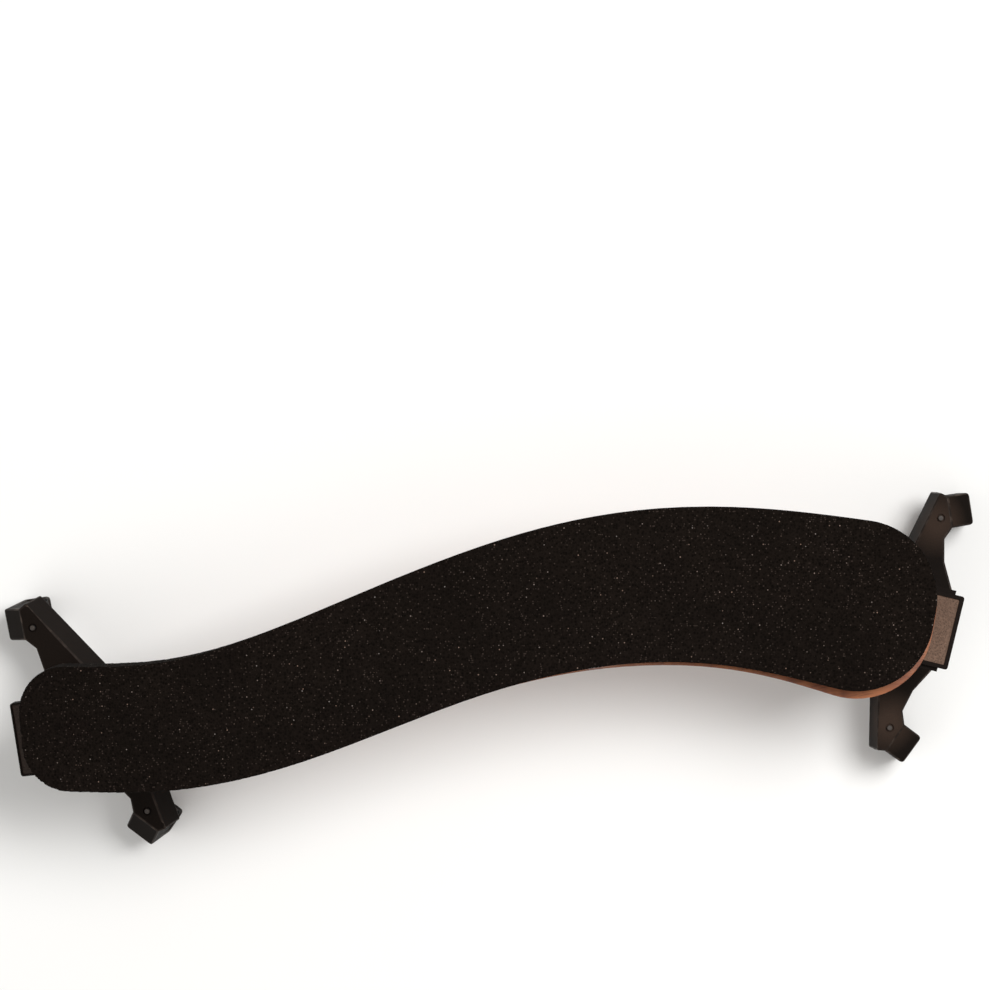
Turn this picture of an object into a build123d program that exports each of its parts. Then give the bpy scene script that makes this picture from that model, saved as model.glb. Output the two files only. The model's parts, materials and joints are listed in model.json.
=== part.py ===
from build123d import *
from math import cos, radians, sin
import os

# A violin shoulder rest, in millimetres. It stands on its four claws at z = 0, +X points to the wide
# shoulder end, +Y to the violin's scroll, +Z to the player's shoulder. The back of the violin would
# lie at the height of the claws.

# --- feet: where each post stands and how it leans -------------------------------------------------
right_post_x = 96.3
right_post_y = 10.3
right_heading = -13.7        # degrees in plan, the way the right bracket and fork point outward
left_post_x = -86.4
left_post_y = -9.1
left_bracket_heading = 188.3  # degrees in plan, the way the left bracket points outward
left_fork_heading = 212.0    # the left fork is turned on its post to follow the violin's edge
left_lean = 15.0             # degrees the left post leans outward, as its plate end is pitched
right_height = 38.0          # along the post, from the claws' underside to the plate's underside
left_height = 35.0

# --- plate and foam --------------------------------------------------------------------------------
plate_thickness = 4.0
foam_thickness = 5.0
right_end_past_post = 1.3    # the wood ends this far outboard of the right post
left_end_past_post = 6.6
right_end_across = 1.9       # the plate's middle lies this far toward the scroll from the bracket's
left_end_across = 3.2
right_end_heading = -10.5    # degrees in plan, the way the plate itself runs out at each end
left_end_heading = 184.0
left_width = 27.6            # of the foam, across the plate, at the narrow end
left_seat_width = 28.2       # where the narrow seat meets the arch
waist_width = 30.0
right_seat_width = 36.2
right_width = 37.8
seat_length = 31.0           # each end is flat over this length, where its bracket slides
rim_right = 1.9              # wood that shows past the foam on the rear side of the wide end
rim_right_seat = 1.1
rim_left = -0.3              # the foam overhangs the wood a little at the narrow end
# Between the seats: share of the span, shift toward the scroll and rise from the straight line
# between them, foam width and rim.
arch = (
    (0.25, 1.9, 5.8, waist_width - 0.6, 0.0),
    (0.50, 8.4, 8.2, waist_width + 0.6, 0.2),
    (0.75, 8.8, 5.0, waist_width + 3.2, 0.8),
)
foam_overhang = 1.0          # of the foam past the wood on the scroll side
foam_end_inset = 0.65        # the foam stops this far short of the wood's wide end
left_corner_radius = 10.5
right_corner_radius = 17.0
foam_bedding = 0.2           # depth of the foam's block that the wood is cut from

# --- bracket ---------------------------------------------------------------------------------------
bracket_thickness = 2.4
bracket_width = 16.6
bracket_corner = 0.6
right_bracket_reach = 7.0    # outboard of the post
left_bracket_reach = 11.6
ear_thickness = 2.8
ear_reach = 5.0              # outboard of the post
ear_drop = 10.0              # below the bracket's plate
slide_in = 2.0               # travel of the bracket along the plate
slide_out = 4.0
slide_gap = 0.2              # between flat faces that slide on each other
running_clearance = 0.05     # radial, where a pin or a thread turns in its hole
end_clearance = 0.3          # between parts that pass each other

# --- clamp screw, its insert and the guide pin -----------------------------------------------------
screw_radius = 2.0
screw_inboard = 19.0         # from the post's axis
head_radius = 5.0
head_height = 3.5
head_flutes = 12
flute_radius = 0.7
washer_radius = 4.6
washer_thickness = 0.6
insert_radius = 3.1
wood_over_insert = 0.7       # left between the insert's hole and the foam
guide_inboard = 10.5

# --- swing block, post and nut ---------------------------------------------------------------------
hinge_inboard = 6.5          # the hinge pin's axis, from the post's axis
hinge_pin_radius = 1.25
rivet_head_radius = 2.2
rivet_head_height = 0.7
rivet_head_taper = 20        # degrees
holder_height = 9.0
holder_width = 12.2
holder_reach = 5.5           # outboard of the post
bush_radius = 4.3
post_radius = 3.0
post_chamfer = 0.5
post_below_top = 2.5         # the post stops this far below the swing block's top
nut_height = 2.8
nut_across_flats = 9.0

# --- fork and claws --------------------------------------------------------------------------------
pin_spacing = 48.8           # between the two claws' nubs
claw_turn = 22.4             # degrees each claw is turned away from the fork's middle line
claw_inner_side = 2.6        # of the claw's width, measured from its nub
claw_outer_side = 4.75
claw_depth = 7.7             # outward from the nub to the claw's back
claw_wall = 1.8
lip_thickness = 1.6
lip_start = 0.8              # outward from the nub to the lip's edge
liner_thickness = 1.0
edge_gap = 5.6               # room between the liners for the violin's edge
claw_back_height = 12.5
crease_depth = 2.3           # where the claw's back starts to slope down
arm_depth = 7.8
arm_draft = 1.3              # the arms are this much wider below on the inner side
# An arm's sides in plan, outward from and along the fork's middle line, from the hub to the claw.
arm_outer_side = ((6.5, 9.0), (3.2, 15.0), (2.0, 20.0))
arm_inner_side = ((-1.5, 30.0), (-4.0, 19.0), (-6.2, 9.0))
hub_radius = 5.6
hub_rise = 0.5               # of the hub above the arms
post_socket = 6.7            # depth of the hole in the hub for the post
nub_radius = 0.6
nub_rise = 0.3
nub_recess_radius = 1.0
nub_recess_depth = 0.4
liner_inset = 0.3            # of the liner from the claw's sides
liner_inner_reach = 1.6      # of the liner inward from the nub

# --- worked out from the sizes above ---------------------------------------------------------------
seat_height = lip_thickness + 2 * liner_thickness + edge_gap
arm_top = seat_height + arm_depth
hub_top = arm_top + hub_rise
claw_corner = claw_depth * cos(radians(claw_turn)) + claw_inner_side * sin(radians(claw_turn))
ear_gap = holder_width / 2 + end_clearance
guide_radius = screw_radius
insert_length = plate_thickness - wood_over_insert
ear_inner_end = -hinge_inboard - 2 * rivet_head_radius

os.makedirs("parts", exist_ok=True)


def save(builder, name):
    """Label a finished piece and write it."""
    builder.part.label = name
    export_step(builder.part, f"parts/{name}.step")


def bracket_under(height):
    """Underside of the bracket's plate, where the plate's own underside is at the given height."""
    return height - slide_gap - bracket_thickness


def holder_top(height):
    return bracket_under(height) - end_clearance


def hinge_level(height):
    return holder_top(height) - holder_height / 2


def heading(degrees):
    return Vector(cos(radians(degrees)), sin(radians(degrees)), 0)


def profile_plane(frame, across):
    """The upright plane of a frame, x outward and y up, moved across by the given distance."""
    return Plane(frame.origin + frame.y_dir * across, x_dir=frame.x_dir, z_dir=-frame.y_dir)


def upright_frame(origin, up, outward):
    """A frame whose z is the given up and whose x is the part of outward square to it."""
    side = up.cross(outward).normalized()
    return Plane(origin, x_dir=side.cross(up), z_dir=up)


# Frames of the two feet: z runs up the post, x points outward. A leaning foot is lifted so that the
# outer edge of its claws touches z = 0.
up_right = Vector(0, 0, 1)
up_left = heading(left_fork_heading) * sin(radians(left_lean)) + up_right * cos(radians(left_lean))
right_origin = Vector(right_post_x, right_post_y, 0)
left_origin = Vector(left_post_x, left_post_y, claw_corner * sin(radians(left_lean)))
right_foot = upright_frame(right_origin, up_right, heading(right_heading))
left_foot = upright_frame(left_origin, up_left, heading(left_bracket_heading))
right_fork_frame = right_foot
left_fork_frame = upright_frame(left_origin, up_left, heading(left_fork_heading))


# --- the plate's spine: from the left seat over the arch to the right seat -------------------------
def seat_point(foot, height, past_post, across):
    return foot.origin + foot.z_dir * height + foot.x_dir * past_post + foot.y_dir * across


left_end = seat_point(left_foot, left_height, left_end_past_post, -left_end_across)
left_run = upright_frame(left_end, up_left, heading(left_end_heading)).x_dir
left_seat = left_end - left_run * seat_length
right_end = seat_point(right_foot, right_height, right_end_past_post, right_end_across)
right_run = heading(right_end_heading)
right_seat = right_end - right_run * seat_length
span = right_seat - left_seat

# Stations: a point of the spine, the foam's width there, how far the wood shows past the foam on the
# rear side, and the plate's upward direction. Each seat has three, so that it stays flat.
left_middle = (left_end + left_seat) / 2
right_middle = (right_seat + right_end) / 2
stations = [
    (left_end, left_width, rim_left, up_left),
    (left_middle, (left_width + left_seat_width) / 2, rim_left, up_left),
    (left_seat, left_seat_width, rim_left, up_left),
]
for share, shift, rise, width, rim in arch:
    point = left_seat + span * share + Vector(0, shift, rise)
    stations.append((point, width, rim, up_right))
stations.append((right_seat, right_seat_width, rim_right_seat, up_right))
stations.append((right_middle, right_width, rim_right, up_right))
stations.append((right_end, right_width, rim_right, up_right))

with BuildLine() as spine_line:
    spine = Spline(*[station[0] for station in stations], tangents=[-left_run, right_run])


def upright_edges(layer, thickness):
    """The edges at a layer's corners, which alone are as long as it is thick."""
    return layer.edges().filter_by(lambda edge: abs(edge.length / thickness - 1) < 0.03)


def plate_layer(low, high, scroll_side, rear_side, end_inset):
    """A layer of the plate between two heights above its underside. Each side may be moved out from
    the foam's edge, by a distance for the scroll side and a share of the rim for the rear side."""
    with BuildPart() as layer:
        for point, width, rim, up in stations:
            along = spine.tangent_at(spine.param_at_point(point))
            across = up.cross(along).normalized()
            place = point - right_run * end_inset if point is right_end else point
            reach = width / 2 + scroll_side
            drop = width / 2 + rim * rear_side
            with BuildSketch(Plane(place, x_dir=across, z_dir=along)):
                with Locations(((reach - drop) / 2, (low + high) / 2)):
                    Rectangle(reach + drop, high - low)
        loft()
        fillet(upright_edges(layer, high - low).sort_by(Axis.X)[:2], left_corner_radius)
        fillet(upright_edges(layer, high - low).sort_by(Axis.X)[-2:], right_corner_radius)
    return layer


wood = plate_layer(0, plate_thickness, -foam_overhang, 1, 0)
seats = ((left_foot, left_height), (right_foot, right_height))
with BuildPart() as base_plate:
    add(wood.part)
    for foot, height in seats:
        # a milled flat seat for the bracket, and holes for the insert and the guide pin
        past_end = 2 * left_bracket_reach
        past_sides = 3 * bracket_width
        with BuildSketch(foot.offset(height)):
            with Locations(((past_end - seat_length) / 2, 0)):
                Rectangle(past_end + seat_length, past_sides)
        extrude(amount=-plate_thickness, mode=Mode.SUBTRACT)
        with BuildSketch(foot.offset(height)):
            with Locations((-screw_inboard, 0)):
                Circle(insert_radius)
            with Locations((-guide_inboard, 0)):
                Circle(guide_radius)
        extrude(amount=insert_length, mode=Mode.SUBTRACT)
save(base_plate, "base_plate")

foam_low = plate_thickness - foam_bedding
foam = plate_layer(foam_low, plate_thickness + foam_thickness, 0, 0, foam_end_inset)
with BuildPart() as foam_pad:
    add(foam.part)
    add(wood.part, mode=Mode.SUBTRACT)
save(foam_pad, "foam_pad")


# --- hardware in the plate -------------------------------------------------------------------------
def make_insert(foot, height):
    """Brass insert, threaded for the clamp screw."""
    with BuildPart() as insert:
        with BuildSketch(foot.offset(height)):
            with Locations((-screw_inboard, 0)):
                Circle(insert_radius)
                Circle(screw_radius + running_clearance, mode=Mode.SUBTRACT)
        extrude(amount=insert_length)
    return insert


def make_guide_pin(foot, height):
    """Steel dowel that runs in the bracket's slot."""
    with BuildPart() as pin:
        with BuildSketch(foot.offset(bracket_under(height))):
            with Locations((-guide_inboard, 0)):
                Circle(guide_radius)
        extrude(amount=slide_gap + bracket_thickness + insert_length)
    return pin


def make_washer(foot, height):
    """Flat washer between the clamp screw's head and the bracket."""
    with BuildPart() as washer:
        with BuildSketch(foot.offset(bracket_under(height) - slide_gap)):
            with Locations((-screw_inboard, 0)):
                Circle(washer_radius)
                Circle(screw_radius + running_clearance, mode=Mode.SUBTRACT)
        extrude(amount=-washer_thickness)
    return washer


def make_thumb_screw(foot, height):
    """Clamp screw with a fluted head, its shank up through the slot into the insert."""
    head_top = bracket_under(height) - 2 * slide_gap - washer_thickness
    with BuildPart() as screw:
        with BuildSketch(foot.offset(head_top)):
            with Locations((-screw_inboard, 0)):
                Circle(head_radius)
                with PolarLocations(head_radius, head_flutes):
                    Circle(flute_radius, mode=Mode.SUBTRACT)
        extrude(amount=-head_height)
        with BuildSketch(foot.offset(head_top)):
            with Locations((-screw_inboard, 0)):
                Circle(screw_radius)
        extrude(amount=height - head_top + insert_length - end_clearance)
    return screw


# --- bracket, its rivet, and the swing block -------------------------------------------------------
def make_bracket(foot, height, reach):
    """Slotted plate with two ears that carry the hinge pin. It reaches past the post by reach."""
    under = bracket_under(height)
    slot_in = -screw_inboard - slide_out
    slot_out = -guide_inboard + slide_in
    inner_end = slot_in - screw_radius - bracket_thickness
    with BuildPart() as bracket:
        with BuildSketch(foot.offset(under)):
            with Locations(((inner_end + reach) / 2, 0)):
                RectangleRounded(reach - inner_end, bracket_width, bracket_corner)
            with Locations(((slot_in + slot_out) / 2, 0)):
                slot_width = 2 * (screw_radius + slide_gap)
                SlotCenterToCenter(slot_out - slot_in, slot_width, mode=Mode.SUBTRACT)
        extrude(amount=bracket_thickness)
        for side in (-1, 1):
            # each ear narrows below toward the hinge pin
            knee = under - ear_drop / 2
            foot_in = -hinge_inboard - rivet_head_radius
            foot_out = -hinge_inboard + 2 * rivet_head_radius
            with BuildSketch(profile_plane(foot, side * ear_gap)):
                with BuildLine():
                    Polyline(
                        (ear_inner_end, under), (ear_reach, under), (ear_reach, knee),
                        (foot_out, under - ear_drop), (foot_in, under - ear_drop),
                        (ear_inner_end, knee), close=True,
                    )
                make_face()
                with Locations((-hinge_inboard, hinge_level(height))):
                    Circle(hinge_pin_radius, mode=Mode.SUBTRACT)
            extrude(amount=-side * ear_thickness)
        # the ears stand past the plate's sides, and reach half way up them
        overlap = ear_gap + ear_thickness - bracket_width / 2
        for side in (-1, 1):
            middle = ((ear_inner_end + ear_reach) / 2, side * (bracket_width + overlap) / 2)
            with BuildSketch(foot.offset(under)):
                with Locations(middle):
                    Rectangle(ear_reach - ear_inner_end, overlap)
            extrude(amount=bracket_thickness / 2)
    return bracket


def make_hinge_pin(foot, height):
    """Steel pin through both ears, riveted over at each end."""
    half_length = ear_gap + ear_thickness
    axis = (-hinge_inboard, hinge_level(height))
    with BuildPart() as pin:
        with BuildSketch(profile_plane(foot, half_length)):
            with Locations(axis):
                Circle(hinge_pin_radius)
        extrude(amount=2 * half_length)
        for side in (-1, 1):
            with BuildSketch(profile_plane(foot, side * half_length)):
                with Locations(axis):
                    Circle(rivet_head_radius)
            extrude(amount=-side * rivet_head_height, taper=rivet_head_taper)
    return pin


def make_holder(foot, height):
    """Swing block: a round end about the hinge pin, a square end about the post."""
    middle = hinge_level(height)
    with BuildPart() as holder:
        with BuildSketch(profile_plane(foot, holder_width / 2)):
            with Locations((-hinge_inboard, middle)):
                Circle(holder_height / 2)
            with Locations(((holder_reach - hinge_inboard) / 2, middle)):
                Rectangle(holder_reach + hinge_inboard, holder_height)
            with Locations((-hinge_inboard, middle)):
                Circle(hinge_pin_radius + running_clearance, mode=Mode.SUBTRACT)
        extrude(amount=holder_width)
        with BuildSketch(foot.offset(holder_top(height))):
            Circle(bush_radius)
        extrude(amount=-holder_height, mode=Mode.SUBTRACT)
    return holder


def make_bush(foot, height):
    """Brass bush, threaded for the post."""
    with BuildPart() as bush:
        with BuildSketch(foot.offset(holder_top(height))):
            Circle(bush_radius)
            Circle(post_radius + running_clearance, mode=Mode.SUBTRACT)
        extrude(amount=-holder_height)
    return bush


def make_post(foot, height):
    """Threaded stud from the fork's hub up into the bush."""
    top = holder_top(height) - post_below_top
    bottom = hub_top - post_socket + end_clearance
    with BuildPart() as post:
        with BuildSketch(foot.offset(bottom)):
            Circle(post_radius)
        extrude(amount=top - bottom)
        chamfer(post.edges().filter_by(GeomType.CIRCLE), post_chamfer)
    return post


def make_lock_nut(foot, height):
    """Thin hexagon nut on the post, against the swing block's underside."""
    top = holder_top(height) - holder_height - slide_gap / 2
    with BuildPart() as nut:
        with BuildSketch(foot.offset(top)):
            RegularPolygon(nut_across_flats / 2, 6, major_radius=False)
            Circle(post_radius + running_clearance, mode=Mode.SUBTRACT)
        extrude(amount=-nut_height)
    return nut


# --- fork and its rubber liners --------------------------------------------------------------------
def claw_frame(frame, end):
    """Frame at one nub: x outward through the claw, y along the violin's edge, away from the hub."""
    turned = frame.rotated((0, 0, end * claw_turn))
    nub = frame.origin + frame.y_dir * end * pin_spacing / 2
    return Plane(nub, x_dir=turned.x_dir, z_dir=frame.z_dir)


def arm_points(end, inward):
    """One arm in plan, from the hub's outer side round the claw's end to the hub's inner side. The
    inner side is moved inward by the given draft."""
    half = pin_spacing / 2
    turn = radians(claw_turn)
    crease_near = (
        crease_depth * cos(turn) + claw_inner_side * sin(turn),
        half + crease_depth * sin(turn) - claw_inner_side * cos(turn),
    )
    crease_far = (
        crease_depth * cos(turn) - claw_outer_side * sin(turn),
        half + crease_depth * sin(turn) + claw_outer_side * cos(turn),
    )
    outer = [*arm_outer_side, crease_near, crease_far]
    inner = [(x - inward, y) for x, y in arm_inner_side]
    return [(x, end * y) for x, y in outer + inner]


def make_fork(frame):
    """Two arms from a hub, each ending in a claw that is open toward the violin."""
    with BuildPart() as fork:
        for height, inward in ((seat_height, arm_draft), (arm_top, 0)):
            with BuildSketch(frame.offset(height)):
                with BuildLine():
                    far = arm_points(1, inward)
                    near = arm_points(-1, inward)
                    Polyline(*far, *reversed(near), close=True)
                make_face()
        loft(ruled=True)
        with BuildSketch(frame.offset(seat_height)):
            Circle(hub_radius)
        extrude(amount=arm_depth + hub_rise)
        for end in (-1, 1):
            claw = claw_frame(frame, end)
            side_start = claw_outer_side if end > 0 else claw_inner_side
            with BuildSketch(profile_plane(claw, side_start)):
                with BuildLine():
                    Polyline(
                        (lip_start, 0), (claw_depth, 0), (claw_depth, claw_back_height),
                        (crease_depth, arm_top), (0, arm_top), (0, seat_height),
                        (claw_depth - claw_wall, seat_height),
                        (claw_depth - claw_wall, lip_thickness), (lip_start, lip_thickness),
                        close=True,
                    )
                make_face()
            extrude(amount=claw_outer_side + claw_inner_side)
            with BuildSketch(claw.offset(seat_height)):
                Circle(nub_radius)
            extrude(amount=arm_depth, mode=Mode.SUBTRACT)
            with BuildSketch(claw.offset(arm_top)):
                Circle(nub_recess_radius)
            extrude(amount=-nub_recess_depth, mode=Mode.SUBTRACT)
        with BuildSketch(frame.offset(hub_top)):
            Circle(post_radius + running_clearance)
        extrude(amount=-post_socket, mode=Mode.SUBTRACT)
    return fork


def make_liner(frame, end):
    """Rubber liner of a claw, a C in profile, with a nub up through the arm."""
    claw = claw_frame(frame, end)
    back = claw_depth - claw_wall
    low = lip_thickness
    side_start = claw_outer_side if end > 0 else claw_inner_side
    with BuildPart() as liner:
        with BuildSketch(profile_plane(claw, side_start - liner_inset)):
            with BuildLine():
                Polyline(
                    (lip_start, low), (back, low), (back, seat_height),
                    (-liner_inner_reach, seat_height),
                    (-liner_inner_reach, seat_height - liner_thickness),
                    (back - liner_thickness, seat_height - liner_thickness),
                    (back - liner_thickness, low + liner_thickness),
                    (lip_start, low + liner_thickness),
                    close=True,
                )
            make_face()
        extrude(amount=claw_outer_side + claw_inner_side - 2 * liner_inset)
        with BuildSketch(claw.offset(seat_height)):
            Circle(nub_radius)
        extrude(amount=arm_depth + nub_rise)
        fillet(liner.faces().sort_by(Axis(claw.origin, claw.z_dir))[-1].edges(), nub_radius / 4)
    return liner


# --- build both sides ------------------------------------------------------------------------------
# Front is the claw nearer the scroll: the frames' y axes point opposite ways on the two sides.
sides = (
    ("left", left_foot, left_fork_frame, left_height, left_bracket_reach, -1),
    ("right", right_foot, right_fork_frame, right_height, right_bracket_reach, 1),
)
for side, foot, fork_frame, height, reach, front in sides:
    save(make_insert(foot, height), f"{side}_insert")
    save(make_guide_pin(foot, height), f"{side}_guide_pin")
    save(make_washer(foot, height), f"{side}_washer")
    save(make_thumb_screw(foot, height), f"{side}_thumb_screw")
    save(make_bracket(foot, height, reach), f"{side}_bracket")
    save(make_hinge_pin(foot, height), f"{side}_hinge_pin")
    save(make_holder(foot, height), f"{side}_holder")
    save(make_bush(foot, height), f"{side}_bush")
    save(make_post(foot, height), f"{side}_post")
    save(make_lock_nut(foot, height), f"{side}_lock_nut")
    save(make_fork(fork_frame), f"{side}_fork")
    save(make_liner(fork_frame, front), f"{side}_front_pad")
    save(make_liner(fork_frame, -front), f"{side}_rear_pad")
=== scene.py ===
import json
import math

import bmesh
import bpy
from mathutils import Matrix, Vector


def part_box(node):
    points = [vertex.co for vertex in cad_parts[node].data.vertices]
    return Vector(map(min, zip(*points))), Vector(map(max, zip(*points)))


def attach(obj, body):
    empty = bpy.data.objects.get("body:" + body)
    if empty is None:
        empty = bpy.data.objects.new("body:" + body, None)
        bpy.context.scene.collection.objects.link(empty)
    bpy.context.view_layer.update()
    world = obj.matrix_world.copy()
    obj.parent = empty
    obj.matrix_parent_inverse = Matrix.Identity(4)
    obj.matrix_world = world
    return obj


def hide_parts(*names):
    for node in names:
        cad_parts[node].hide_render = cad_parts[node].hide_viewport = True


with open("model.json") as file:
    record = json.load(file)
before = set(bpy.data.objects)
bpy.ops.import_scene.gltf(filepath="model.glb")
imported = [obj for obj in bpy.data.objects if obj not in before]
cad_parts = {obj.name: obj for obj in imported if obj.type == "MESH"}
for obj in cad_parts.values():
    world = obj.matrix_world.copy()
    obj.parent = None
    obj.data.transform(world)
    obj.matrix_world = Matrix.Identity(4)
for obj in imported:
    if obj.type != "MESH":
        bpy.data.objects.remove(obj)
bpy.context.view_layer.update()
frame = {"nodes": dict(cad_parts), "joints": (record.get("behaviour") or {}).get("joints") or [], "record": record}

# --- Camera, light and table -----------------------------------------------------------------------
# The rest is seen from straight above, as it sits on a violin's back, from a little under a metre.
# One large soft box hangs over the wide end, a weaker one over the narrow end, above a pale table.
camera_data = bpy.data.cameras.new("camera")
camera_data.sensor_width = 36
camera_data.lens = 143.3
camera = bpy.data.objects.new("camera", camera_data)
camera.location = (0.0013, 0.03925, 0.908)
bpy.context.scene.collection.objects.link(camera)
bpy.context.scene.camera = camera

sky = bpy.data.worlds.new("studio")
sky.use_nodes = True
sky.node_tree.nodes["Background"].inputs["Color"].default_value = (1.0, 0.99, 0.97, 1)
sky.node_tree.nodes["Background"].inputs["Strength"].default_value = 0.42
bpy.context.scene.world = sky
bpy.context.scene.view_settings.view_transform = "Standard"


def soft_box(name, place, size, power):
    """A square studio light that faces the middle of the rest."""
    data = bpy.data.lights.new(name, "AREA")
    data.size = size
    data.energy = power
    light = bpy.data.objects.new(name, data)
    light.location = place
    light.rotation_euler = (-Vector(place)).to_track_quat("-Z", "Y").to_euler()
    bpy.context.scene.collection.objects.link(light)


soft_box("key_light", (0.40, 0.28, 0.95), 0.45, 9)
soft_box("fill_light", (-0.7, -0.35, 0.8), 0.9, 3)


def deselect():
    bpy.ops.object.select_all(action="DESELECT")
    bpy.context.view_layer.objects.active = None


def pick(piece):
    """Selects one piece alone and makes it the active one."""
    deselect()
    piece.select_set(True)
    bpy.context.view_layer.objects.active = piece


class Signal:
    """A socket in a finish. Arithmetic on it adds Math nodes."""

    def __init__(self, finish, socket):
        self.finish = finish
        self.socket = socket

    def math(self, operation, *others):
        return self.finish.node("ShaderNodeMath", {"operation": operation}, [self, *others])

    def clamp(self):
        settings = {"operation": "MULTIPLY", "use_clamp": True}
        return self.finish.node("ShaderNodeMath", settings, [self, 1.0])

    def above(self, level, width):
        """0 below the level, 1 above it, with a soft step of the given width."""
        return ((self - (level - width / 2)) * (1 / width)).clamp()

    def __add__(self, other):
        return self.math("ADD", other)

    def __radd__(self, other):
        return self.math("ADD", other)

    def __sub__(self, other):
        return self.math("SUBTRACT", other)

    def __rsub__(self, other):
        return self.finish.node("ShaderNodeMath", {"operation": "SUBTRACT"}, [other, self])

    def __mul__(self, other):
        return self.math("MULTIPLY", other)

    def __rmul__(self, other):
        return self.math("MULTIPLY", other)


class Finish:
    """A material in the making, on one Principled shader."""

    def __init__(self, name, **shader):
        self.material = bpy.data.materials.new(name)
        self.material.use_nodes = True
        self.tree = self.material.node_tree
        self.shader = self.tree.nodes["Principled BSDF"]
        for socket, value in shader.items():
            self.shader.inputs[socket.replace("_", " ")].default_value = value
        self.place = self.node("ShaderNodeTexCoord", output="Object")

    def node(self, kind, settings=None, inputs=(), output=0):
        """Adds a node: its settings first, then a value or a link for each input."""
        made = self.tree.nodes.new(kind)
        for name, value in (settings or {}).items():
            if name == "stops":
                self.set_stops(made.color_ramp, value)
            else:
                setattr(made, name, value)
        pairs = inputs.items() if isinstance(inputs, dict) else enumerate(inputs)
        for name, value in pairs:
            if isinstance(value, Signal):
                self.tree.links.new(value.socket, made.inputs[name])
            else:
                made.inputs[name].default_value = value
        return Signal(self, made.outputs[output])

    def set_stops(self, ramp, stops):
        while len(ramp.elements) < len(stops):
            ramp.elements.new(0.5)
        for element, (position, colour) in zip(ramp.elements, stops):
            element.position = position
            element.color = (*colour, 1)

    def turned(self, turn, stretch):
        """The place on the piece, turned in plan by some degrees, then stretched by axis."""
        turned = self.node("ShaderNodeMapping", None,
                           {"Vector": self.place, "Rotation": (0, 0, math.radians(turn))})
        return self.node("ShaderNodeMapping", None, {"Vector": turned, "Scale": stretch})

    def around(self, middle, reach):
        """The place on the piece, measured from a point and in units of the reach."""
        inputs = {"Vector": self.place, "Location": middle, "Scale": (reach, reach, reach)}
        return self.node("ShaderNodeMapping", {"vector_type": "TEXTURE"}, inputs)

    def noise(self, scale, detail=3.0, roughness=0.5, place=None, distortion=0.0):
        inputs = {"Vector": place or self.place, "Scale": scale, "Detail": detail,
                  "Roughness": roughness, "Distortion": distortion}
        return self.node("ShaderNodeTexNoise", None, inputs)

    def cells(self, scale, output="Distance"):
        return self.node("ShaderNodeTexVoronoi", None, {"Vector": self.place, "Scale": scale}, output)

    def mix(self, amount, low, high):
        """Blends two colours, each a triple or a link."""
        def colour(value):
            return value if isinstance(value, Signal) else (*value, 1)
        inputs = {0: amount, 6: colour(low), 7: colour(high)}
        return self.node("ShaderNodeMix", {"data_type": "RGBA"}, inputs, 2)

    def ramp(self, value, *stops):
        return self.node("ShaderNodeValToRGB", {"stops": stops}, [value], "Color")

    def bump(self, height, depth, strength=1.0, under=None):
        """A normal from a height of 0 to 1 that stands for the given depth in metres."""
        inputs = {"Height": height, "Distance": depth, "Strength": strength}
        if under:
            inputs["Normal"] = under
        return self.node("ShaderNodeBump", None, inputs, "Normal")

    def paint(self, **links):
        for socket, value in links.items():
            self.tree.links.new(value.socket, self.shader.inputs[socket.replace("_", " ")])
        return self.material


table_finish = Finish("pale_table", Roughness=0.75)
mottle = table_finish.noise(9.0)
table_paper = table_finish.paint(
    Base_Color=table_finish.mix(mottle, (0.86, 0.855, 0.84), (0.90, 0.895, 0.88)))
deselect()
bpy.ops.mesh.primitive_plane_add(size=6, location=(0, 0, 0))
table = bpy.context.object
table.name = "table"
table.data.materials.append(table_paper)


# --- Wooden plate ----------------------------------------------------------------------------------
# One sheet of flamed maple, bent over a former to the curve of a shoulder, sawn to an S, its edges
# rounded over, then stained and varnished an orange brown. It carries everything else.
def cad_copy(node, name):
    """A copy of a CAD solid with its loose triangles joined and its flat faces made whole."""
    mesh = frame["nodes"][node].data.copy()
    mesh.materials.clear()
    piece = bpy.data.objects.new(name, mesh)
    bpy.context.scene.collection.objects.link(piece)
    pick(piece)
    bpy.ops.object.mode_set(mode="EDIT")
    bpy.ops.mesh.select_all(action="SELECT")
    bpy.ops.mesh.remove_doubles(threshold=2e-6)
    bpy.ops.mesh.dissolve_limited(angle_limit=math.radians(0.8))
    bpy.ops.object.mode_set(mode="OBJECT")
    return piece


def use_modifier(piece, kind, **settings):
    """Adds a modifier and applies it at once."""
    modifier = piece.modifiers.new(kind.lower(), kind)
    for name, value in settings.items():
        setattr(modifier, name, value)
    pick(piece)
    bpy.ops.object.modifier_apply(modifier=modifier.name)


def round_over(piece, width, segments=3, angle=35, worn=-1):
    """Rounds every edge sharper than the angle. Worn is the material slot of the rounded faces."""
    use_modifier(piece, "BEVEL", width=width, segments=segments, limit_method="ANGLE",
                 angle_limit=math.radians(angle), use_clamp_overlap=True, material=worn,
                 miter_outer="MITER_ARC", loop_slide=True)


def smooth(piece, angle=32):
    """Smooth shading that keeps corners crisp and large flat faces flat."""
    pick(piece)
    bpy.ops.object.shade_smooth_by_angle(angle=math.radians(angle))
    use_modifier(piece, "WEIGHTED_NORMAL", keep_sharp=True)


def give(piece, *materials):
    """Gives a piece its materials, the one it is mostly made of first."""
    for material in materials:
        piece.data.materials.append(material)


def finish_piece(piece, body, node):
    """The piece stands for its CAD solid and moves with its body."""
    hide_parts(node)
    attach(piece, body)


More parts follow.
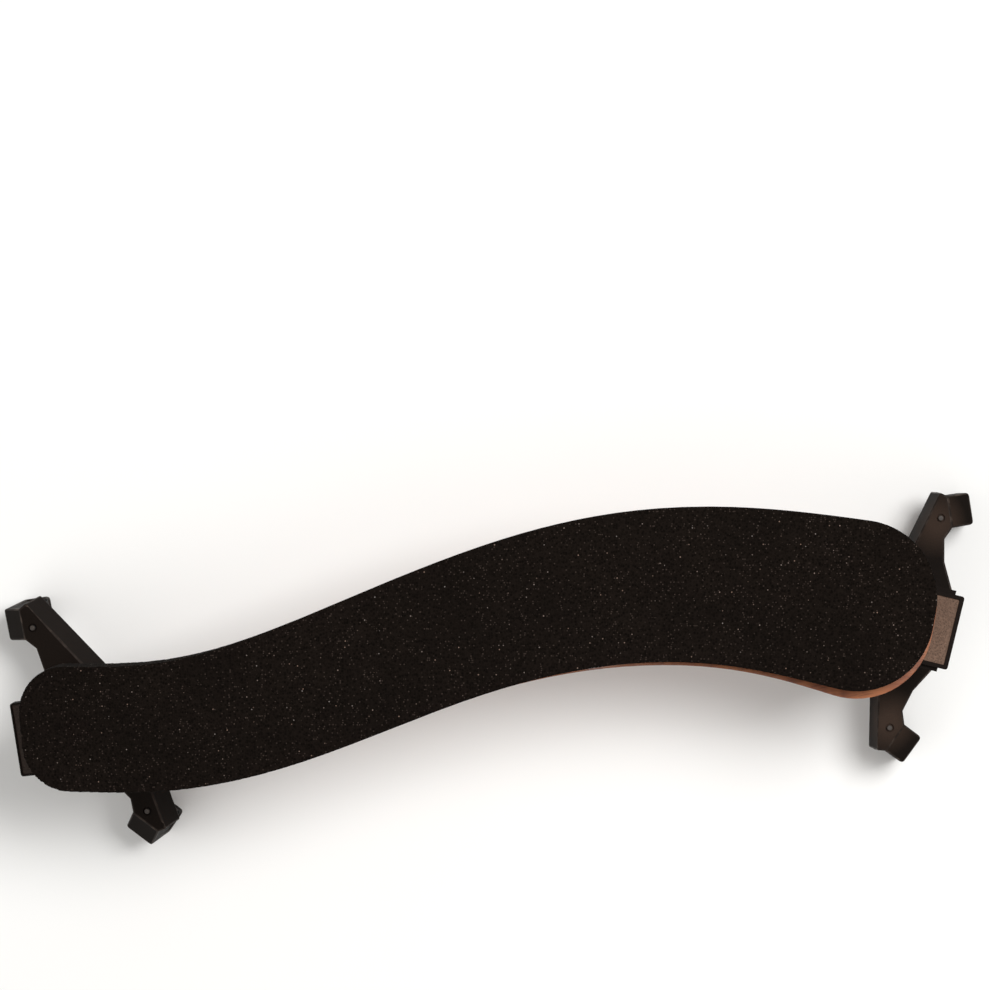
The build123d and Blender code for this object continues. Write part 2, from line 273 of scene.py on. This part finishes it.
grain_turn = -10.0           # degrees, the way the grain runs in plan
wood_edge_radius = 0.0009
varnish = Finish("varnished_maple", Roughness=0.32, Coat_Weight=0.3, Coat_Roughness=0.12,
                 Coat_IOR=1.45, Specular_IOR_Level=0.3)
along_grain = varnish.turned(grain_turn, (0.05, 1.0, 1.0))
across_grain = varnish.turned(grain_turn, (1.0, 0.12, 0.35))
streak = varnish.noise(900.0, 5.0, 0.6, along_grain, 0.3)
pores = varnish.noise(5200.0, 2.0, 0.6, along_grain)
flame = varnish.noise(170.0, 2.0, 0.5, across_grain, 0.8)
tone = varnish.noise(24.0, 2.0)
wood_colour = varnish.ramp(streak, (0.25, (0.095, 0.020, 0.006)), (0.5, (0.225, 0.062, 0.019)),
                           (0.78, (0.36, 0.120, 0.039)))
flamed = varnish.mix(flame.above(0.52, 0.22) * 0.45, wood_colour, (0.54, 0.20, 0.07))
stained = varnish.mix(tone.above(0.55, 0.35) * 0.4, flamed, (0.17, 0.038, 0.010))
dark_pores = varnish.mix(pores.above(0.62, 0.08) * 0.55, stained, (0.07, 0.02, 0.008))
wood_relief = varnish.bump(streak * 0.6 + pores * 0.4, 0.00005)
wood_relief = varnish.bump(tone, 0.0003, 0.5, wood_relief)
maple = varnish.paint(Base_Color=dark_pores, Roughness=0.24 + 0.22 * streak, Normal=wood_relief,
                      Coat_Weight=0.4 - 0.25 * tone)

wood = cad_copy("base_plate", "maple_plate")
give(wood, maple)
round_over(wood, wood_edge_radius, 4, 50)
smooth(wood)
finish_piece(wood, "plate", "base_plate")

# --- Foam pad --------------------------------------------------------------------------------------
# Black open-cell sponge, cut from a sheet to the plate's outline and glued on. Its edges are
# rounded from wear, its face is a little uneven, and cut cell walls glint here and there.
foam_cell = 0.00052
foam_edge_radius = 0.0011
foam_mesh_size = 0.0005
face_tilt = 0.75             # a normal that rises more than this belongs to the face
unevenness_depth = 0.0003
sponge = Finish("black_sponge", Roughness=0.95, Specular_IOR_Level=0.04)
cell = sponge.cells(1 / foam_cell)
fine_cell = sponge.cells(2.4 / foam_cell)
cell_colour = sponge.cells(1 / foam_cell, output="Color")
glint_colour = sponge.cells(1.15 / foam_cell, output="Color")
glint_place = sponge.cells(1.15 / foam_cell)
cell_number = sponge.node("ShaderNodeSeparateColor", None, [cell_colour], "Red")
glint_number = sponge.node("ShaderNodeSeparateColor", None, [glint_colour], "Green")
tint_number = sponge.node("ShaderNodeSeparateColor", None, [glint_colour], "Blue")
clouds = sponge.noise(60.0, 3.0)
# the cell walls are painted lighter than the hollows between them, as light on the walls and shade in the hollows
wall = cell.above(0.55, 0.5)
sponge_dark = sponge.mix(cell_number, (0.0026, 0.0017, 0.0012), (0.0084, 0.0057, 0.0043))
sponge_walls = sponge.mix(wall * 0.6, sponge_dark, (0.0120, 0.0084, 0.0066))
sponge_clouded = sponge.mix(clouds.above(0.5, 0.4) * 0.4, sponge_walls, (0.0040, 0.0028, 0.0022))
dim_glint = glint_number.above(0.83, 0.06) * (1 - glint_place.above(0.34, 0.2))
bright_glint = glint_number.above(0.988, 0.008) * (1 - glint_place.above(0.28, 0.2))
sponge_glints = sponge.mix(dim_glint * 0.6, sponge_clouded, (0.058, 0.042, 0.035))
glint_tint = sponge.mix(tint_number, (0.30, 0.19, 0.14), (0.24, 0.22, 0.21))
sponge_bright = sponge.mix(bright_glint * 0.7, sponge_glints, glint_tint)
sponge_relief = sponge.bump(1 - cell, 0.00022, 0.9)
sponge_relief = sponge.bump(fine_cell, 0.00008, 0.5, sponge_relief)
foam_finish = sponge.paint(Base_Color=sponge_bright, Normal=sponge_relief,
                           Roughness=0.96 - 0.3 * bright_glint)

foam = cad_copy("foam_pad", "sponge_pad")
give(foam, foam_finish)
round_over(foam, foam_edge_radius, 4, 50)
# an even mesh, drawn back onto the cut shape, carries the unevenness of the face
cut_shape = bpy.data.objects.new("cut_shape", foam.data.copy())
bpy.context.scene.collection.objects.link(cut_shape)
use_modifier(foam, "REMESH", mode="VOXEL", voxel_size=foam_mesh_size)
use_modifier(foam, "SMOOTH", factor=0.5, iterations=3)
use_modifier(foam, "SHRINKWRAP", target=cut_shape, wrap_method="NEAREST_SURFACEPOINT")
bpy.data.objects.remove(cut_shape)
face_side = foam.vertex_groups.new(name="face")
face_side.add([vertex.index for vertex in foam.data.vertices if vertex.normal.z > face_tilt],
              1, "ADD")
unevenness = bpy.data.textures.new("foam_unevenness", "CLOUDS")
unevenness.noise_scale = 0.004
unevenness.noise_depth = 3
use_modifier(foam, "DISPLACE", texture=unevenness, strength=unevenness_depth, mid_level=0.75,
             texture_coords="LOCAL", vertex_group="face")
pick(foam)
bpy.ops.object.shade_smooth()
finish_piece(foam, "plate", "foam_pad")

# --- Brackets --------------------------------------------------------------------------------------
# Black moulded nylon. A slotted tongue slides under the plate and two ears below carry the foot. The
# end that stands out past the wood has a raised rim about a stippled field, painted a paler brown grey as light on
# it.
joints = {joint["name"]: joint for joint in frame["joints"]}
bracket_top_over_hinge = 0.0072
bracket_half_width = 0.0083
rim_width = {"left": 0.0004, "right": 0.0009}
field_depth = 0.00035
field_inner_end = -0.0035
field_corner = 0.00018
on_floor = 0.00005           # a face this near the recess's floor is part of it
bracket_edge = 0.00022
bracket_reach = {"left": 0.0116, "right": 0.0070}


def foot_frame(side):
    """The matrix of a foot: z up its post from the claws' underside, x outward from the plate."""
    outward = Vector(joints[side + "_width"]["axis"])
    across = Vector(joints[side + "_fold"]["axis"])
    up = Vector(joints[side + "_height"]["axis"])
    matrix = Matrix((outward, across, up)).transposed().to_4x4()
    matrix.translation = Vector(joints[side + "_turn"]["pos_m"])
    return matrix


def place_on_foot(piece, side):
    """Moves a mesh made at a foot's own origin to that foot."""
    piece.data.transform(foot_frame(side))


def place_of_hinge(side):
    """The foot's frame, with its origin moved up to the middle of the hinge pin."""
    matrix = foot_frame(side)
    matrix.translation = Vector(joints[side + "_fold"]["pos_m"])
    return matrix


def moulded_plastic(name, dark, light, gloss, sheen_places=(), paler_tone=None):
    """Black moulded plastic: fine spark-eroded texture, flow marks and dull patches. Round each of the
    given places a paler tone is painted in, a painted sheen for light falling on an arm's top."""
    plastic = Finish(name, Specular_IOR_Level=0.03)
    grain = plastic.noise(5200.0, 3.0, 0.6)
    speck = plastic.cells(3600.0)
    flow = plastic.noise(110.0, 3.0, 0.55, plastic.turned(20, (1.0, 0.5, 1.0)), 0.6)
    patch = plastic.noise(38.0, 2.0)
    colour = plastic.mix(grain.above(0.5, 0.5), dark, light)
    colour = plastic.mix(patch.above(0.52, 0.3) * 0.35, colour, [c * 1.35 for c in light])
    # a paler tone painted round each given place: a painted sheen, light falling on the arm's top
    for place, reach in sheen_places:
        nearness = plastic.node("ShaderNodeTexGradient", {"gradient_type": "SPHERICAL"},
                                [plastic.around(place, reach)])
        colour = plastic.mix(nearness.above(0.4, 0.8) * (0.55 + 0.6 * grain), colour, paler_tone)
    relief = plastic.bump(grain * 0.5 + speck * 0.5, 0.00003, 0.55)
    relief = plastic.bump(flow, 0.00012, 0.25, relief)
    return plastic.paint(Base_Color=colour, Normal=relief,
                         Roughness=gloss + 0.16 * flow + 0.10 * grain)


def worn_plastic(name, base, rubbed):
    """The same plastic where an edge is rubbed smooth: lighter, in broken stretches."""
    plastic = Finish(name, Specular_IOR_Level=0.08)
    rub = plastic.noise(420.0, 4.0, 0.65)
    patch = plastic.noise(70.0, 2.0)
    wear = rub.above(0.56, 0.16) * patch.above(0.5, 0.3)
    colour = plastic.mix(wear * 0.7, base, rubbed)
    relief = plastic.bump(rub, 0.00003, 0.4)
    return plastic.paint(Base_Color=colour, Roughness=0.42 - 0.14 * wear, Normal=relief)


def stippled_plastic(name, dark, light):
    """A moulded stipple of fine pits on a field painted a paler brown grey as light on it, the pits painted darker
    as shade.
    """
    plastic = Finish(name, Specular_IOR_Level=0.12)
    pits = plastic.cells(2600.0)
    paler_tone = plastic.noise(2100.0, 4.0, 0.7)
    shade = plastic.noise(230.0, 2.0)
    colour = plastic.mix(paler_tone.above(0.5, 0.35), dark, light)
    # the pits are painted darker, as shade in them
    colour = plastic.mix((1 - pits.above(0.28, 0.25)) * 0.7, colour, [c * 0.35 for c in dark])
    colour = plastic.mix(shade.above(0.5, 0.4) * 0.3, colour, [c * 0.7 for c in dark])
    relief = plastic.bump(pits, 0.00006, 0.8)
    return plastic.paint(Base_Color=colour, Roughness=0.5 + 0.2 * paler_tone, Normal=relief)


nylon_dark, nylon_light = (0.0045, 0.0030, 0.0023), (0.0110, 0.0076, 0.0059)
nylon = moulded_plastic("black_nylon", nylon_dark, nylon_light, 0.36)
nylon_edge = worn_plastic("rubbed_nylon", nylon_light, (0.055, 0.043, 0.036))
# the fields' colours are painted light: the wide side's field is painted as lit, several times paler than the
# narrow side's, which is painted as in shade
fields = {
    "left": stippled_plastic("stippled_field_left", (0.026, 0.0175, 0.0135),
                             (0.054, 0.0375, 0.030)),
    "right": stippled_plastic("stippled_field_right", (0.104, 0.063, 0.043),
                              (0.212, 0.131, 0.092)),
}

for side in ("left", "right"):
    bracket = cad_copy(side + "_bracket", side + "_slide_bracket")
    give(bracket, nylon, nylon_edge, fields[side])
    top = (foot_frame(side).inverted() @ place_of_hinge(side).translation).z
    top += bracket_top_over_hinge
    outer = bracket_reach[side] - rim_width[side]
    deselect()
    bpy.ops.mesh.primitive_cube_add(size=1)
    cutter = bpy.context.object
    cutter.data.transform(Matrix.Diagonal(
        (outer - field_inner_end, 2 * (bracket_half_width - rim_width[side]), 2 * field_depth, 1)))
    cutter.data.transform(Matrix.Translation(((outer + field_inner_end) / 2, 0, top)))
    pick(cutter)
    bpy.ops.object.mode_set(mode="EDIT")
    bpy.ops.mesh.select_all(action="SELECT")
    bpy.ops.mesh.bevel(offset=field_corner, segments=2, affect="EDGES")
    bpy.ops.object.mode_set(mode="OBJECT")
    place_on_foot(cutter, side)
    give(cutter, nylon, nylon_edge, fields[side])
    use_modifier(bracket, "BOOLEAN", operation="DIFFERENCE", solver="EXACT", object=cutter)
    bpy.data.objects.remove(cutter)
    round_over(bracket, bracket_edge, 2, 50, 1)
    # the stippled field is the flat floor of the recess
    to_foot = foot_frame(side).inverted()
    for face in bracket.data.polygons:
        middle = to_foot @ face.center
        if abs(middle.z - (top - field_depth)) < on_floor and middle.x > field_inner_end:
            face.material_index = 2
    smooth(bracket)
    finish_piece(bracket, side + "_bracket_body", side + "_bracket")

# --- Pins, washers and clamp screws ----------------------------------------------------------------
# Plated steel. A rivet pin joins the ears of each bracket, a dowel in the wood keeps it straight, and
# a screw with a fluted head clamps it to the plate through a washer.


def plated_steel(name, tint, turn):
    steel = Finish(name, Metallic=1.0, Specular_IOR_Level=0.5)
    brushed = steel.noise(2600.0, 4.0, 0.6, steel.turned(turn, (1.0, 0.06, 1.0)))
    stain = steel.noise(240.0, 3.0)
    scratch = steel.noise(900.0, 2.0, 0.5, steel.turned(turn + 35, (1.0, 0.03, 1.0)))
    colour = steel.mix(stain.above(0.55, 0.25) * 0.5, tint, [c * 0.55 for c in tint])
    relief = steel.bump(brushed * 0.6 + scratch * 0.4, 0.000012, 0.6)
    return steel.paint(Base_Color=colour, Normal=relief,
                       Roughness=0.20 + 0.20 * brushed + 0.14 * stain)


steel = plated_steel("plated_steel", (0.58, 0.57, 0.55), 15)
pin_steel = plated_steel("pin_steel", (0.50, 0.49, 0.47), 60)
screw_inboard = 0.019
dish_radius = 0.0034
dish_depth = 0.0006
dish_spread = 1.2            # of the cutter, which is this much wider below the head
pin_edge = 0.00015
screw_edge = 0.0002

right_to_left = place_of_hinge("left") @ place_of_hinge("right").inverted()


def pair(piece, name, move):
    """A piece of the wide side, and the same piece on the narrow side with its own mesh."""
    twin = bpy.data.objects.new("left_" + name, piece.data.copy())
    bpy.context.scene.collection.objects.link(twin)
    twin.data.transform(move)
    return ("right", piece), ("left", twin)


for node, name, body in (("hinge_pin", "rivet_pin", "_bracket_body"),
                         ("guide_pin", "dowel", None), ("washer", "flat_washer", None)):
    pin = cad_copy("right_" + node, "right_" + name)
    give(pin, pin_steel)
    round_over(pin, pin_edge, 2, 50)
    smooth(pin)
    for side, piece in pair(pin, name, right_to_left):
        finish_piece(piece, side + body if body else "plate", side + "_" + node)

# the screw's head is dished below, where a tool would bear, and fluted round its rim
screw = cad_copy("right_thumb_screw", "right_clamp_screw")
give(screw, steel)
head_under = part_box("right_thumb_screw")[0].z
dish_place = foot_frame("right") @ Vector((-screw_inboard, 0, 0))
deselect()
bpy.ops.mesh.primitive_cone_add(vertices=48, radius1=dish_spread * dish_radius, radius2=dish_radius,
                                depth=2 * dish_depth,
                                location=(dish_place.x, dish_place.y, head_under))
dish = bpy.context.object
use_modifier(screw, "BOOLEAN", operation="DIFFERENCE", solver="EXACT", object=dish)
bpy.data.objects.remove(dish)
round_over(screw, screw_edge, 2, 40)
smooth(screw)
for side, piece in pair(screw, "clamp_screw", right_to_left):
    finish_piece(piece, side + "_screw_body", side + "_thumb_screw")

# --- Swing blocks, bushes, nuts and inserts --------------------------------------------------------
# Each foot folds on a black nylon block with a brass bush pressed in, tapped M6 for the post. A thin
# brass nut locks the post below it, and a brass insert in the wood takes the clamp screw.
brass = Finish("turned_brass", Metallic=1.0)
turning = brass.noise(3400.0, 3.0, 0.6, brass.turned(0, (0.08, 0.08, 1.0)))
tarnish = brass.noise(260.0, 4.0, 0.6)
brass_colour = brass.mix(tarnish.above(0.5, 0.3), (0.72, 0.50, 0.20), (0.42, 0.26, 0.09))
brass_metal = brass.paint(Base_Color=brass_colour, Roughness=0.22 + 0.3 * tarnish,
                          Normal=brass.bump(turning, 0.00001, 0.6))

block_edge = 0.0003
brass_edge = 0.00022

block = cad_copy("right_holder", "right_swing_block")
give(block, nylon, nylon_edge)
round_over(block, block_edge, 3, 50, 1)
smooth(block)
for side, piece in pair(block, "swing_block", right_to_left):
    finish_piece(piece, side + "_holder_body", side + "_holder")

for node, name, body in (("bush", "threaded_bush", "_holder_body"),
                         ("lock_nut", "hex_nut", "_nut_body"), ("insert", "threaded_insert", None)):
    turned_part = cad_copy("right_" + node, "right_" + name)
    give(turned_part, brass_metal)
    round_over(turned_part, brass_edge, 2, 40)
    smooth(turned_part)
    for side, piece in pair(turned_part, name, right_to_left):
        finish_piece(piece, side + body if body else "plate", side + "_" + node)

# --- Posts -----------------------------------------------------------------------------------------
# An M6 steel stud with a cut thread of 1 mm pitch, screwed into the fork's hub and up into the bush.
# Turning the fork on it sets the height of its end of the rest.
pitch = 0.001
crest_radius = 0.003
root_radius = 0.00245
flank = 0.0004               # along the post, from root to crest
thread_steps = 28
spare_turns = 3              # cut off again where the post ends

for side in ("left", "right"):
    to_foot = foot_frame(side).inverted()
    ends = [(to_foot @ (frame["nodes"][side + "_post"].matrix_world @ vertex.co)).z
            for vertex in frame["nodes"][side + "_post"].data.vertices]
    bottom, top = min(ends), max(ends)
    turns = math.ceil((top - bottom) / pitch) + spare_turns
    # the thread's profile: root, flank, crest, flank, over and over up the post
    profile = bpy.data.meshes.new(side + "_threaded_post")
    points = []
    for turn in range(turns):
        start = bottom - 2 * pitch + turn * pitch
        points += [(root_radius, 0, start), (crest_radius, 0, start + flank),
                   (crest_radius, 0, start + pitch / 2 - flank / 4),
                   (root_radius, 0, start + pitch / 2 + 0.75 * flank)]
    profile.from_pydata(points, [(i, i + 1) for i in range(len(points) - 1)], [])
    post = bpy.data.objects.new(side + "_threaded_post", profile)
    bpy.context.scene.collection.objects.link(post)
    use_modifier(post, "SCREW", axis="Z", angle=2 * math.pi, screw_offset=pitch,
                 steps=thread_steps, render_steps=thread_steps, use_merge_vertices=True,
                 merge_threshold=1e-7)
    pick(post)
    bpy.ops.object.mode_set(mode="EDIT")
    bpy.ops.mesh.select_all(action="SELECT")
    bpy.ops.mesh.remove_doubles(threshold=1e-6)
    bpy.ops.mesh.bisect(plane_co=(0, 0, bottom), plane_no=(0, 0, -1), use_fill=True,
                        clear_outer=True)
    bpy.ops.mesh.select_all(action="SELECT")
    bpy.ops.mesh.bisect(plane_co=(0, 0, top), plane_no=(0, 0, 1), use_fill=True,
                        clear_outer=True)
    bpy.ops.mesh.select_all(action="SELECT")
    bpy.ops.mesh.normals_make_consistent(inside=False)
    bpy.ops.object.mode_set(mode="OBJECT")
    place_on_foot(post, side)
    give(post, steel)
    smooth(post, 28)
    finish_piece(post, side + "_post_body", side + "_post")

# --- Forks -----------------------------------------------------------------------------------------
# Black nylon, moulded in one: two arms spread from a hub on the post and each ends in a claw that
# hooks round the violin's edge. The arms are flat on top with drafted sides; corners are rubbed.
mounts = {mount["name"]: Vector(mount["pos_m"]) for mount in frame["record"]["mounts"]}
stud_over_grip = 0.0116
sheen_along, sheen_inward = 0.0035, 0.0025
sheen_reach = 0.008


def sheen_place(grip):
    """On top of an arm, a little toward the hub from a stud, where a paler sheen is painted as light."""
    foot = foot_frame("right")
    toward_hub = (foot.translation - mounts[grip]) * Vector((1, 1, 0))
    outward, up = foot.to_3x3().col[0], foot.to_3x3().col[2]
    return (mounts[grip] + toward_hub.normalized() * sheen_along - outward * sheen_inward
            + up * stud_over_grip)


# the places of the painted sheen: the wide side's fork has its arm tops painted lighter, as if lit
sheen_places = [(sheen_place("right_front_grip"), sheen_reach),
           (sheen_place("right_rear_grip"), sheen_reach)]
fork_dark, fork_light = (0.0040, 0.0026, 0.0019), (0.0100, 0.0068, 0.0052)
# the last colour is the painted sheen round those places
fork_nylon = moulded_plastic("fork_nylon", fork_dark, fork_light, 0.40, sheen_places,
                             (0.042, 0.0265, 0.0192))
# the edges' base is paler than the fork's plastic so that it carries the painted sheen; the rubbed stretches on it
# are wear
fork_edge = worn_plastic("fork_edge_wear_and_sheen", (0.0160, 0.0107, 0.0081), (0.085, 0.062, 0.049))
corner_radius = 0.0010
sharper_than = 28            # degrees; flatter edges stay as they are
longer_than = 0.0009
to_foot = foot_frame("right").inverted()


def fork_frame(side, front):
    """A fork's own frame, x outward from the plate and y along the violin's edge. Front is 1 where
    y runs to the front claw and -1 where it runs to the rear one."""
    across = (mounts[side + "_front_grip"] - mounts[side + "_rear_grip"]).normalized() * front
    up = foot_frame(side).to_3x3().col[2]
    matrix = Matrix((across.cross(up), across, up)).transposed().to_4x4()
    matrix.translation = Vector(joints[side + "_turn"]["pos_m"])
    return matrix


def ease_edges(piece, width, segments, worn, portion):
    """Rounds the outward edges that are sharp and long enough. Portion gives an edge's part of the
    width from its two ends."""
    mesh = bmesh.new()
    mesh.from_mesh(piece.data)
    weight = mesh.edges.layers.float.new("bevel_weight_edge")
    for edge in mesh.edges:
        if len(edge.link_faces) == 2 and edge.is_convex and edge.calc_length() > longer_than:
            if edge.calc_face_angle() > math.radians(sharper_than):
                edge[weight] = portion(edge.verts[0].co, edge.verts[1].co)
    mesh.to_mesh(piece.data)
    mesh.free()
    use_modifier(piece, "BEVEL", width=width, segments=segments, limit_method="WEIGHT",
                 use_clamp_overlap=False, material=worn, miter_outer="MITER_ARC")


def upright_most(start, end):
    """The upright corners at a claw's back are rounded most, the other edges less."""
    along = to_foot.to_3x3() @ (end - start).normalized()
    lowest = min((to_foot @ start).z, (to_foot @ end).z)
    upright = abs(along.z) > 0.95 and lowest < 0.0005
    return 1.0 if upright else 0.4


fork_to_left = fork_frame("left", -1) @ fork_frame("right", 1).inverted()
fork = cad_copy("right_fork", "right_two_claw_fork")
give(fork, fork_nylon, fork_edge)
ease_edges(fork, corner_radius, 4, 1, upright_most)
smooth(fork)
for side, piece in pair(fork, "two_claw_fork", fork_to_left):
    finish_piece(piece, side + "_fork_body", side + "_fork")

# --- Rubber liners ---------------------------------------------------------------------------------
# Soft black rubber, a C that lines each claw so that it grips without marking the varnish. A stud on
# it is pulled up through the arm and shows on top in a small sunk ring, its tip painted a paler grey as a
# highlight.
rubber = Finish("liner_rubber", Roughness=0.7, Specular_IOR_Level=0.3)
bloom = rubber.noise(900.0, 4.0, 0.65)
scuff = rubber.noise(160.0, 3.0)
rubber_colour = rubber.mix(bloom.above(0.5, 0.4), (0.009, 0.0085, 0.008), (0.021, 0.0195, 0.018))
rubber_colour = rubber.mix(scuff.above(0.58, 0.2) * 0.4, rubber_colour, (0.045, 0.041, 0.037))
liner_finish = rubber.paint(Base_Color=rubber_colour, Roughness=0.62 + 0.25 * bloom,
                            Normal=rubber.bump(bloom, 0.00004, 0.6))
stud = Finish("stud_tip_highlight", Roughness=0.5, Specular_IOR_Level=0.3)
grey = stud.noise(1500.0, 3.0)
# the stud's tip is painted a paler grey, a painted highlight
stud_tip = stud.paint(Base_Color=stud.mix(grey, (0.014, 0.0105, 0.0085), (0.062, 0.048, 0.039)),
                      Normal=stud.bump(grey, 0.00003, 0.5))
stud_length = 0.0012
liner_edge = 0.00016

# the wide side's front claw has the shape of the narrow side's rear claw, and the other way round
for right_end, left_end in (("front", "rear"), ("rear", "front")):
    liner = cad_copy("right_" + right_end + "_pad", "right_" + right_end + "_liner")
    give(liner, liner_finish, stud_tip)
    round_over(liner, liner_edge, 2, 40)
    tip = max(vertex.co.z for vertex in liner.data.vertices)
    for face in liner.data.polygons:
        if face.center.z > tip - stud_length:
            face.material_index = 1
    smooth(liner)
    ends = {"right": right_end, "left": left_end}
    for side, piece in pair(liner, left_end + "_liner", fork_to_left):
        finish_piece(piece, side + "_fork_body", side + "_" + ends[side] + "_pad")
